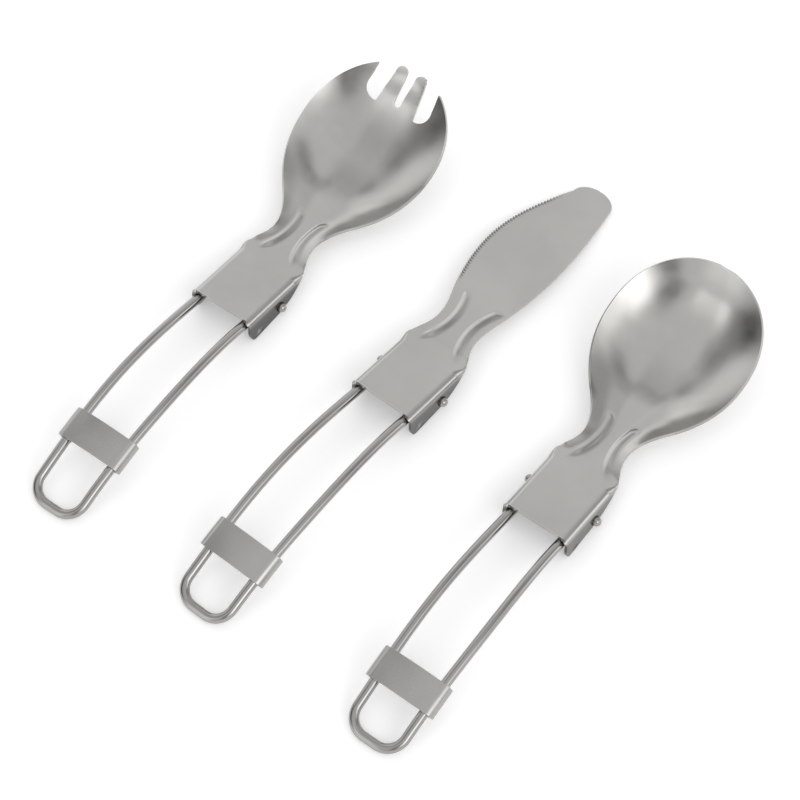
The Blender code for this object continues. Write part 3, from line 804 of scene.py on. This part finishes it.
@dataclass(frozen=True)
class BowlHead(Head):
    """A head that ends in a bowl."""

    waist_at: float = 18.7 * MM
    waist_width: float = 13.5 * MM
    flank_at: float = 30.0 * MM
    flank_width: float = 25.0 * MM
    flank_slope: float = 0.92
    ramp_end: float = 35.0 * MM
    ramp_lift: float = 2.65 * MM
    ramp_fall: float = -0.095
    floor_front: float = 40.0 * MM
    row_steps: tuple[Pair, ...] = ((floor_front, 0.4 * MM),)
    floor_lift: float = 2.5 * MM
    floor_slope: float = 0.03
    floor_share: float = 0.18
    scoop_at: tuple[float, ...] = (44.0 * MM, 48.0 * MM, 54.0 * MM, 60.0 * MM, 66.0 * MM)
    scoop_rise: tuple[float, ...] = (0.5 * MM, 1.6 * MM, 4.1 * MM, 7.6 * MM, 12.5 * MM)
    scoop_slope: tuple[float, ...] = (0.2, 0.33, 0.5, 0.68, 0.98)
    lip_slope: float = 1.7
    neck_wall_power: float = 1.8
    lip_wall_power: float = 2.2
    rim_early_share: float = 0.33
    belly_at: float = 50.5 * MM
    width: float = 42.83 * MM
    tip_rise: float = 26.2 * MM
    fullness: float = 2.3

    def outline(self, side: Side) -> Knots:
        """Return the knots of either edge, up to the bowl's widest place."""
        return (
            (CHANNEL.front, CHANNEL.half_width, self.shoulder_slope),
            (self.waist_at, 0.5 * self.waist_width, 0.0),
            (self.flank_at, 0.5 * self.flank_width, self.flank_slope),
            (self.belly_at, 0.5 * self.width, 0.0),
        )

    def rim(self, x: float) -> float:
        """Return the rim's height at x."""
        share = (x - CHANNEL.front) / (self.tip - CHANNEL.front)
        early = self.rim_early_share
        return CHANNEL.plate + self.tip_rise * (early * share + (1.0 - early) * share**2)

    def floor(self, x: float) -> float:
        """Return the height of the bowl's inside at x on its middle line."""
        on_table = self.resting.sheet_on_table
        fall = -math.tan(self.resting.pitch)
        scoop = zip(self.scoop_at, self.scoop_rise, self.scoop_slope)
        knots = (
            (CHANNEL.front, CHANNEL.plate - on_table(CHANNEL.front), fall),
            (self.ramp_end, self.ramp_lift, self.ramp_fall),
            (self.floor_front, self.floor_lift, self.floor_slope),
            *((at, self.floor_lift + rise, slope) for at, rise, slope in scoop),
            (self.tip, self.rim(self.tip) - on_table(self.tip), self.lip_slope),
        )
        return on_table(x) + hermite(x, knots)

    def front_section(self, x: float, share: float, side: Side) -> Pair:
        """Return the bowl's half section: a flat floor and a wall that steepens."""
        out = self.column(x, share)
        floor = self.floor(x)
        towards_tip = max(0.0, (x - self.ramp_end) / (self.tip - self.ramp_end))
        power = self.neck_wall_power + (self.lip_wall_power - self.neck_wall_power) * towards_tip
        climb = max(0.0, (out - self.floor_share) / (1.0 - self.floor_share)) ** power
        return self.half_width(x, side) * out, floor + (self.rim(x) - floor) * climb


@dataclass(frozen=True)
class SporkHead(BowlHead):
    """A bowl whose front is cut into two tines between two horns."""

    belly_at: float = 52.0 * MM
    width: float = 43.43 * MM
    tip: float = 72.9 * MM
    tip_rise: float = 26.4 * MM
    fullness: float = 2.1
    tip_rows: int = 150
    fold_columns: int = 36
    plate_columns: int = 18
    tine_length: float = 11.2 * MM
    tine_lean: float = 0.705
    tine_spacing: float = 6.5 * MM
    tine_tip_width: float = 3.5 * MM
    slot_width: float = 2.2 * MM
    bite_radius: float = 3.9 * MM
    bite_spacing: float = 14.2 * MM
    bite_rise: float = 2.75 * MM
    bite_turn: Pair = (-100.0, 15.0)
    horn_spacing: float = 20.7 * MM
    horn_length: float = 9.1 * MM
    past_edge: float = 4.0 * MM
    cut_depth: float = 8.8 * MM
    arc_steps: int = 24

    def half_outline(self) -> list[Vector]:
        """Return the right half of the toothed edge as points across and up the front wall."""

        def arc(centre: Pair, radius: float, start: float, end: float) -> list[Vector]:
            """Return points on a circle between two angles in degrees."""
            steps = self.arc_steps
            turns = [math.radians(start + (end - start) * i / steps) for i in range(steps + 1)]
            return [Vector(centre) + radius * Vector((math.cos(a), math.sin(a))) for a in turns]

        slot = 0.5 * self.slot_width
        tip = 0.5 * self.tine_tip_width
        horn = 0.5 * self.horn_spacing
        outline = arc((0.0, slot), slot, -90.0, 0.0)
        outline += arc((0.5 * self.tine_spacing, self.tine_length - tip), tip, 180.0, 0.0)
        outline += arc((0.5 * self.bite_spacing, self.bite_rise), self.bite_radius, *self.bite_turn)
        outline.append(Vector((horn, self.horn_length)))
        outline.append(Vector((horn + STOCK.sheet, self.tine_length + self.past_edge)))
        return outline

    def trim(self, bm: BMesh) -> None:
        """Cut the tines and the horns, square to the front wall."""
        foot_x = self.tip - self.tine_length * self.tine_lean
        foot = Vector((foot_x, 0.0, self.floor(foot_x)))
        up = (Vector((self.tip, 0.0, self.rim(self.tip))) - foot).normalized()
        half = self.half_outline()
        loop = half + [Vector((0.0, half[-1].y)), half[0]]

        def flat(point: Vector) -> Vector:
            """Return a point's place across and up the front wall, folded to the right half."""
            return Vector((abs(point.y), (point - foot).dot(up)))

        def inside(point: Vector) -> bool:
            """Tell whether a point lies before the toothed edge."""
            if point.x < foot_x - self.cut_depth:
                return False
            at = flat(point)
            crossings = 0
            for a, b in zip(loop, loop[1:]):
                if (a.y > at.y) != (b.y > at.y):
                    crossings += at.x < a.x + (b.x - a.x) * (at.y - a.y) / (b.y - a.y)
            return crossings % 2 == 1

        def onto(point: Vector) -> Vector:
            """Move a point onto the toothed edge."""
            at = flat(point)
            nearest = []
            for a, b in zip(half, half[1:]):
                run = b - a
                share = min(max((at - a).dot(run) / max(run.length_squared, 1e-12), 0.0), 1.0)
                nearest.append(a + run * share)
            move = min(nearest, key=lambda near: (near - at).length) - at
            return point + Vector((0.0, math.copysign(move.x, move.x * point.y), 0.0)) + up * move.y

        cut_out(bm, inside, onto)


@dataclass(frozen=True)
class BladeHead(Head):
    """A head that ends in a flat blade with a fine saw edge on its left; pairs are left and right."""

    bend_at: float = 12.0 * MM
    waist: Pair = (7.1 * MM, 6.5 * MM)
    flank_at: float = 32.0 * MM
    flank: Pair = (10.5 * MM, 8.25 * MM)
    flank_slope: float = 1.5
    belly_at: float = 51.0 * MM
    belly: Pair = (13.8 * MM, 9.8 * MM)
    nose_at: float = 80.0 * MM
    nose: Pair = (5.3 * MM, 7.3 * MM)
    nose_slope: float = 1.75
    tip: float = 84.6 * MM
    tip_shift: float = -0.8 * MM
    tip_rows: int = 26
    saw_start: float = 32.5 * MM
    saw_run_in: float = 3.0 * MM
    saw_run_out: float = 6.0 * MM
    saw_end: float = 77.0 * MM
    tooth_pitch: float = 0.95 * MM
    tooth_power: float = 1.4
    tooth_depth: float = 0.42 * MM
    tooth_drop: float = 0.3
    tooth_reach: float = 1.5 * MM
    # how sharply the painted shade in the saw notches falls off in from the edge
    notch_shade: float = 1.6
    row_steps: tuple[Pair, ...] = (
        (saw_start, 0.4 * MM), (saw_end, tooth_pitch / 7.0), (nose_at, 0.3 * MM)
    )
    bead_end: float = 32.0 * MM
    bead_crest: float = 3.2 * MM
    plate_columns: int = 24
    fold_columns: int = 20

    def outline(self, side: Side) -> Knots:
        """Return the knots of an edge, up to the nose."""
        pick = 0 if side is Side.LEFT else 1
        waist, flank, belly, nose = (pair[pick] for pair in (self.waist, self.flank, self.belly, self.nose))
        return (
            (CHANNEL.front, CHANNEL.half_width, self.shoulder_slope),
            (self.waist_at, waist, 0.0),
            (self.flank_at, flank, self.flank_slope * (belly - waist) / (self.belly_at - self.waist_at)),
            (self.belly_at, belly, 0.0),
            (self.nose_at, nose, self.nose_slope * (nose - belly) / (self.nose_at - self.belly_at)),
        )

    def height(self, x: float) -> float:
        """Return the blade's upper face at x: flat, with its tip resting on the table."""
        slope = (self.resting.sheet_on_table(self.tip) - CHANNEL.plate) / (self.tip - self.bend_at)
        return CHANNEL.plate + slope * max(0.0, x - self.bend_at)

    def saw(self, x: float) -> float:
        """Return the depth of the saw edge's notch at x, as a share of the full one."""
        if not self.saw_start < x < self.saw_end:
            return 0.0
        fade = min(1.0, (x - self.saw_start) / self.saw_run_in, (self.saw_end - x) / self.saw_run_out)
        return fade * (0.5 - 0.5 * math.cos(2.0 * math.pi * x / self.tooth_pitch)) ** self.tooth_power

    def painted_shade_share(self, point: Vector) -> float:
        """Return how much painted shade a point gets; the notches of the saw edge get painted shade too."""
        inset = self.half_width(point.x, Side.LEFT) - point.y
        # painted shade in the notches of the saw edge
        notch = self.saw(point.x) * smoothstep(self.notch_shade * (1.0 - inset / self.tooth_reach))
        return max(super().painted_shade_share(point), notch)

    def front_section(self, x: float, share: float, side: Side) -> Pair:
        """Return the blade's half section, with the notches of the saw edge on the left."""
        out = self.column(x, share)
        middle = self.tip_shift * smoothstep((x - self.belly_at) / (self.tip - self.belly_at))
        start = side.value * middle
        width = self.half_width(x, side) - start
        notch = 0.0
        if side is Side.LEFT:
            near = max(0.0, 1.0 - (width * (1.0 - out)) / self.tooth_reach)
            notch = self.tooth_depth * self.saw(x) * near
        return start + width * out - notch, self.height(x) - self.tooth_drop * notch


# --- handles and clips


@dataclass(frozen=True)
class WireHandle:
    """A wire bent to a long U, whose ends turn out through the head's flanges as hinge pins."""

    name: str
    resting: Resting
    left_pin_proud: float
    right_pin_proud: float = 1.8 * MM
    loop_width: float = 15.0 * MM
    leg_bow: float = 0.5 * MM
    loop_corner: float = 5.5 * MM
    pin_bend: float = 1.75 * MM
    dome_turn: float = math.radians(84.0)
    dome_rings: int = 9
    bend_rings: int = 10
    corner_rings: int = 14
    leg_ring: float = 1.6 * MM
    sides: int = 28

    @property
    def leg_in_channel(self) -> float:
        """Return the distance of a leg from the middle, inside the channel."""
        return CHANNEL.half_width - STOCK.sheet - STOCK.running_gap - STOCK.wire_radius

    def leg(self, length: float) -> float:
        """Return the distance of a leg from the middle; the legs bow out along the way."""
        start = ARC.length_at(-CHANNEL.rear)
        share = max(0.0, (length - start) / (self.resting.reach - self.loop_corner - start))
        straight = self.leg_in_channel + (0.5 * self.loop_width - self.leg_in_channel) * share
        return straight + self.leg_bow * math.sin(math.pi * share) ** 2

    def half_path(self, pin_proud: float) -> list[tuple[float, float, float]]:
        """Return lengths, distances from the middle and shares of the radius, from pin to loop."""
        radius, bend, round_off = STOCK.wire_radius, self.pin_bend, self.loop_corner
        pin_end = CHANNEL.half_width + pin_proud
        path = []
        for i in range(self.dome_rings + 1):
            turn = self.dome_turn * (1.0 - i / self.dome_rings)
            path.append((0.0, pin_end - radius * (1.0 - math.sin(turn)), math.cos(turn)))
        for turn in quarter(self.bend_rings):
            across = self.leg_in_channel + bend * (1.0 - math.sin(turn))
            path.append((bend * (1.0 - math.cos(turn)), across, 1.0))
        corner = self.resting.reach - round_off
        path += [(length, self.leg(length), 1.0) for length in stepped(bend, corner, self.leg_ring)]
        inner = 0.5 * self.loop_width - round_off
        for turn in quarter(self.corner_rings, 1):
            path.append((corner + round_off * math.sin(turn), inner + round_off * math.cos(turn), 1.0))
        return path

    def ring_places(self) -> list[Matrix]:
        """Return the transform of each ring of the wire, which carries a unit circle to it."""
        right = self.half_path(self.right_pin_proud)
        path = self.half_path(self.left_pin_proud)
        path += [(length, -y, share) for length, y, share in reversed(right)]
        middles = [ARC.point(length, y) for length, y, _ in path]
        places = []
        for i, (length, _, share) in enumerate(path):
            ahead = middles[min(i + 1, len(middles) - 1)] - middles[max(i - 1, 0)]
            ahead.normalize()
            upright = ARC.upright(length)
            beside = ahead.cross(upright).normalized()
            turn = Matrix((beside, upright, ahead)).transposed().to_4x4()
            places.append(Matrix.Translation(middles[i]) @ turn @ Matrix.Scale(STOCK.wire_radius * share, 4))
        return places

    def build(self, dressing: Dressing) -> None:
        """Roll a grid up to the wire along its path and dress it in its material."""
        places = self.ring_places()
        steps = ((far.translation - near.translation).length for near, far in zip(places, places[1:]))
        lengths = list(accumulate(steps, initial=0.0))
        bm = bmesh.new()
        layer = bm.verts.layers.float_vector.new(DRAWN_ATTRIBUTE)
        rows = len(places) - 1
        bmesh.ops.create_grid(bm, x_segments=rows, y_segments=self.sides, size=1.0)
        for vert in bm.verts:
            row = round(0.5 * (vert.co.x + 1.0) * rows)
            turn = math.pi * (vert.co.y + 1.0)
            around = Vector((math.cos(turn), math.sin(turn), 0.0))
            vert[layer] = Vector((lengths[row], *(STOCK.wire_radius * around.xy)))
            vert.co = places[row] @ around
        bmesh.ops.remove_doubles(bm, verts=bm.verts, dist=TOUCHING)
        bmesh.ops.holes_fill(bm, edges=[edge for edge in bm.edges if edge.is_boundary])
        bmesh.ops.recalc_face_normals(bm, faces=bm.faces)
        bmesh.ops.transform(bm, matrix=self.resting.matrix, verts=bm.verts)
        dressing.finish_piece(f"{self.name}_bent_wire", bm, Slot.DRAWN, f"{self.name}_handle")


@dataclass(frozen=True)
class SlidingClip:
    """A strip rolled round both legs of a handle, which slides along them."""

    name: str
    resting: Resting
    at: float
    length: float = 8.8 * MM
    spacing: float = 15.7 * MM
    gap: float = 0.4 * MM
    wrap: float = math.radians(200.0)
    crown: float = 0.6 * MM
    edge_radius: float = 0.12 * MM
    worn_reach: float = 0.9 * MM
    wrap_steps: int = 26
    web_cuts: int = 15
    length_steps: int = 14

    def build(self, dressing: Dressing) -> None:
        """Roll the strip's section, sweep it along the handle's arc and dress it in its material."""
        bm = bmesh.new()
        outer = STOCK.wire_radius + self.gap + STOCK.sheet
        leg = Vector((0.0, 0.5 * self.spacing, ARC.radius))
        top = bm.verts.new(leg + Vector((0.0, 0.0, outer)))
        bmesh.ops.spin(bm, geom=[top], cent=leg, axis=(1, 0, 0), angle=-self.wrap, steps=self.wrap_steps)
        bmesh.ops.mirror(bm, geom=bm.verts[:] + bm.edges[:], axis="Y", merge_dist=TOUCHING)
        web = bm.edges.new([vert for vert in bm.verts if vert.co.z > ARC.radius + outer - TOUCHING])
        bmesh.ops.subdivide_edges(bm, edges=[web], cuts=self.web_cuts)
        for vert in bm.verts:
            across = abs(vert.co.y) / (0.5 * self.spacing)
            vert.co.z += self.crown * max(0.0, 1.0 - across * across)

        turn = self.length / ARC.radius
        start = ARC.lift - self.at / ARC.radius - 0.5 * turn
        bmesh.ops.rotate(bm, verts=bm.verts, cent=(0, 0, 0), matrix=Matrix.Rotation(start, 3, "Y"))
        strip = bm.verts[:] + bm.edges[:]
        bmesh.ops.spin(bm, geom=strip, cent=(0, 0, 0), axis=(0, 1, 0), angle=turn, steps=self.length_steps)
        bmesh.ops.remove_doubles(bm, verts=bm.verts, dist=TOUCHING)
        bmesh.ops.recalc_face_normals(bm, faces=bm.faces)
        highest = max(bm.faces, key=lambda face: face.calc_center_median().z)
        if highest.normal.z < 0.0:
            bmesh.ops.reverse_faces(bm, faces=bm.faces)
        bmesh.ops.translate(bm, verts=bm.verts, vec=ARC.centre)
        mark_edges(bm, self.worn_reach)
        bmesh.ops.transform(bm, matrix=self.resting.matrix, verts=bm.verts)
        piece = dressing.finish_piece(f"{self.name}_rolled_clip", bm, Slot.FOLDED, f"{self.name}_clip")
        thicken(piece, STOCK.sheet, self.edge_radius)


# --- studio


def heading(azimuth: float, elevation: float) -> Vector:
    """Return the direction at an azimuth and an elevation in degrees."""
    az, el = math.radians(azimuth), math.radians(elevation)
    return Vector((math.cos(el) * math.cos(az), math.cos(el) * math.sin(az), math.sin(el)))


@dataclass(frozen=True)
class WallPatch:
    """A soft round patch of the room's walls, in degrees, that is paler or darker than the rest."""

    azimuth: float
    elevation: float
    inner: float
    outer: float
    amount: float

    def add_to(self, nodes: Nodes, direction: NodeSocket, total: object) -> NodeSocket:
        """Add the patch to the room's brightness.

        Args:
            nodes: The room's node tree.
            direction: Where a ray looks.
            total: The brightness so far, a number or a socket.

        Returns:
            The new brightness.
        """
        inputs = {0: direction, 1: heading(self.azimuth, self.elevation)}
        dot = nodes.add("VectorMath", inputs, operation="DOT_PRODUCT").outputs["Value"]
        edge = tuple(math.cos(math.radians(angle)) for angle in (self.outer, self.inner))
        return nodes.math("ADD", total, nodes.span(dot, edge, (0.0, self.amount), "SMOOTHSTEP"))


WALL_PATCHES = [
    WallPatch(*sizes) for sizes in (
        (-118, 35, 10, 22, 1.2), (-88, 33, 6, 18, 0.9), (-66, 32, 4, 12, 0.4), (-50, 10, 3, 13, 1.2),
        (-48, 55, 4, 15, -0.45), (-32, 31, 7, 18, -0.35), (-20, 56, 4, 13, -0.35), (6, 59, 3, 11, -0.3),
        (25, 46, 4, 12, 0.1), (36, 63, 3, 11, -0.36), (52, 15, 6, 18, 0.4), (62, 34, 6, 18, 0.27),
        (78, 70, 4, 15, -0.18), (80, 56, 3, 11, -0.42), (88, 24, 6, 18, 0.27), (106, 46, 3, 11, -0.42),
        (118, 8, 4, 24, -0.45), (125, 27, 9, 22, -0.56), (123, 53, 4, 13, -0.35), (155, 40, 3, 11, 0.9),
        (164, 8, 4, 20, 0.6), (-158, 45, 4, 15, -0.65), (-152, 23, 4, 12, -0.6),
    )
]


@dataclass(frozen=True)
class Studio:
    """The pale floor, the white room, the lamp and the camera."""

    floor_colour: tuple[float, float, float, float] = (0.96, 0.96, 0.96, 1.0)
    floor_roughness: float = 0.9
    floor_size: float = 6.0
    floor_glow: float = 0.22
    room_strength: float = 0.9
    darkest_wall: float = 0.1
    lamp_way: Pair = (-116.0, 36.0)
    lamp_size: Pair = (0.3, 0.5)
    lamp_radiance: float = 0.7
    camera_at: tuple[float, float, float] = (-0.270479, -0.205489, 0.545327)
    camera_aim: tuple[float, float, float] = (-0.0022731, -0.0011703, 0.0000488)
    picture_width: float = 800.0
    focal_pixels: float = 2365.0
    sensor: float = 36.0
    half_pixel: float = 0.5

    def build(self) -> None:
        """Set up everything round the cutlery."""
        self._floor()
        self._room()
        self._lamp()
        self._camera()
        bpy.context.scene.view_settings.view_transform = "Standard"

    def _floor(self) -> None:
        """Lay the plain pale floor."""
        bm = bmesh.new()
        bmesh.ops.create_grid(bm, x_segments=1, y_segments=1, size=0.5 * self.floor_size)
        mesh = bpy.data.meshes.new("floor")
        bm.to_mesh(mesh)
        bm.free()
        material = bpy.data.materials.new("pale_floor")
        material.use_nodes = True
        nodes = Nodes(material.node_tree)
        rays = nodes.add("LightPath", {}).outputs
        seen = nodes.math("MAXIMUM", rays["Is Camera Ray"], rays["Is Glossy Ray"])
        seen = nodes.math("MAXIMUM", seen, rays["Is Transmission Ray"])
        looks = {
            "Base Color": self.floor_colour,
            "Roughness": self.floor_roughness,
            "Specular IOR Level": 0.0,
            "Emission Color": WHITE,
            "Emission Strength": nodes.math("MULTIPLY", seen, self.floor_glow),
        }
        nodes.feed(nodes.tree.nodes["Principled BSDF"].inputs, looks)
        mesh.materials.append(material)
        floor = add_object("floor", mesh)

    def _room(self) -> None:
        """Light the scene softly from a white room with paler and darker patches of wall."""
        world = bpy.data.worlds.new("white_room")
        bpy.context.scene.world = world
        world.use_nodes = True
        nodes = Nodes(world.node_tree)
        direction = nodes.add("TexCoord", {}).outputs["Generated"]
        brightness = self.room_strength
        for patch in WALL_PATCHES:
            brightness = patch.add_to(nodes, direction, brightness)
        looks = {"Color": WHITE, "Strength": nodes.math("MAXIMUM", brightness, self.darkest_wall)}
        nodes.feed(nodes.tree.nodes["Background"].inputs, looks)

    def _lamp(self) -> None:
        """Hang a soft lamp on the right, a metre off, and turn it to the middle."""
        lamp = bpy.data.lights.new("right_strip", "AREA")
        lamp.shape = "RECTANGLE"
        lamp.size, lamp.size_y = self.lamp_size
        lamp.energy = self.lamp_radiance * math.pi * lamp.size * lamp.size_y
        aim(add_object("right_strip", lamp), heading(*self.lamp_way), Vector((0.0, 0.0, 0.0)))

    def _camera(self) -> None:
        """Stand the camera where the three utensils are seen from above their handles."""
        camera = bpy.data.cameras.new("camera")
        camera.sensor_width = self.sensor
        camera.lens = self.focal_pixels / self.picture_width * self.sensor
        camera.shift_x = -self.half_pixel / self.picture_width
        camera.shift_y = self.half_pixel / self.picture_width
        piece = add_object("camera", camera)
        aim(piece, Vector(self.camera_at), Vector(self.camera_aim))
        bpy.context.scene.camera = piece


# --- the set


@dataclass(frozen=True)
class Utensil:
    """One utensil of the set: its head, its handle and its clip."""

    name: str
    head: type[Head]
    reach: float
    clip_from_loop: float
    left_pin_proud: float
    lobe_lift: float = 0.0

    def resting(self, joints: list[dict]) -> Resting:
        """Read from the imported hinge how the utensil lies.

        Args:
            joints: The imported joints.

        Returns:
            Its pivot and its turn on the table.
        """
        hinge = next(joint for joint in joints if joint["name"] == f"{self.name}_fold")
        yaw = math.atan2(hinge["axis"][0], -hinge["axis"][1])
        return Resting(Vector(hinge["pos_m"]), yaw, CHANNEL.lobe_radius + self.lobe_lift, self.reach)

    def build(self, joints: list[dict], dressing: Dressing) -> None:
        """Build and dress the three pieces."""
        resting = self.resting(joints)
        self.head(self.name, resting).build(dressing)
        WireHandle(self.name, resting, self.left_pin_proud).build(dressing)
        SlidingClip(self.name, resting, self.reach - self.clip_from_loop).build(dressing)


UTENSILS = (
    Utensil("spork", SporkHead, 87.6 * MM, 21.4 * MM, 0.7 * MM),
    Utensil("knife", BladeHead, 90.0 * MM, 18.5 * MM, 1.8 * MM, 1.0 * MM),
    Utensil("spoon", BowlHead, 86.6 * MM, 17.4 * MM, 1.8 * MM),
)


def main() -> None:
    """Build the studio, then the three utensils."""
    logging.basicConfig(level=logging.INFO, format="%(name)s: %(message)s")
    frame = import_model()
    Studio().build()
    dressing = Dressing.make()
    for utensil in UTENSILS:
        utensil.build(frame["joints"], dressing)


if __name__ == "__main__":
    main()
